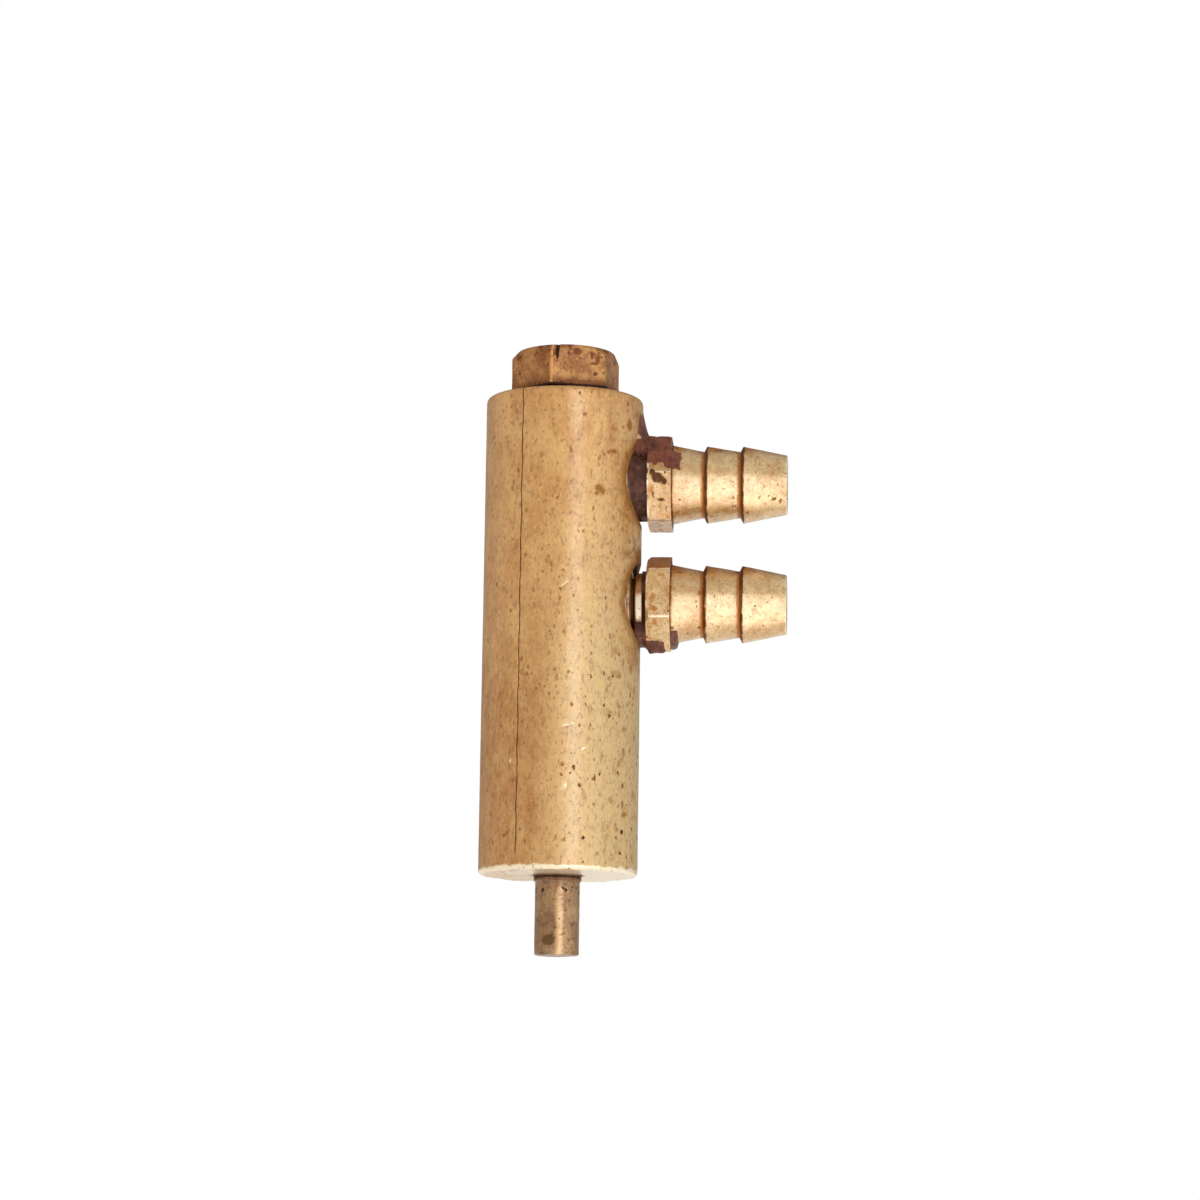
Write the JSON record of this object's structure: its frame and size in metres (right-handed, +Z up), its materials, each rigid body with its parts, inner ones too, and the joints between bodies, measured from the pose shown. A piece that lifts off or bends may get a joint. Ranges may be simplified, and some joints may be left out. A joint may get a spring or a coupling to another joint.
{
  "type": "barbed plunger valve",
  "caption": "Miniature brass push-pin valve: round barrel with a sprung pin at one end, a hex plug at the other and hose barbs on one side.",
  "frame": {"origin": "centre of the barrel's lower face, where the pin comes out", "axes": "+Z up the barrel from the pin end to the hex plug, +X along the hose barbs, away from the barrel"},
  "size_m": [0.0193, 0.01, 0.0384],
  "materials": {
    "barrel_brass": "aged, matte, speckled",
    "plug_brass": "aged, brown tarnish",
    "gasket_fibre": "dark, flat",
    "plunger_brass": "tarnished, polished by use on one side",
    "seal_rubber": "matte",
    "spring_steel": "drawn wire",
    "barb_brass": "turned, satin, stained in the steps",
    "washer_brass": "dull",
    "thread_sealant": "cured, slightly glossy, maroon"
  },
  "bodies": {
    "valve": {"valve_body": "barrel_brass", "end_plug": "plug_brass", "plug_gasket": "gasket_fibre", "return_spring": "spring_steel", "upper_barb": "barb_brass", "lower_barb": "barb_brass", "upper_port_washer": "washer_brass", "lower_port_washer": "washer_brass", "upper_thread_sealant": "thread_sealant", "lower_thread_sealant": "thread_sealant"},
    "spool": {"plunger": "plunger_brass", "lower_spool_seal": "seal_rubber", "upper_spool_seal": "seal_rubber"}
  },
  "joints": [
    {"name": "plunger_slide", "type": "slide", "parent": "valve", "child": "spool", "axis": [0, 0, 1], "range_m": [0, 0.0028], "stiffness_N_per_m": 700, "springref_m": -0.003, "deforming": ["return_spring"]}
  ]
}
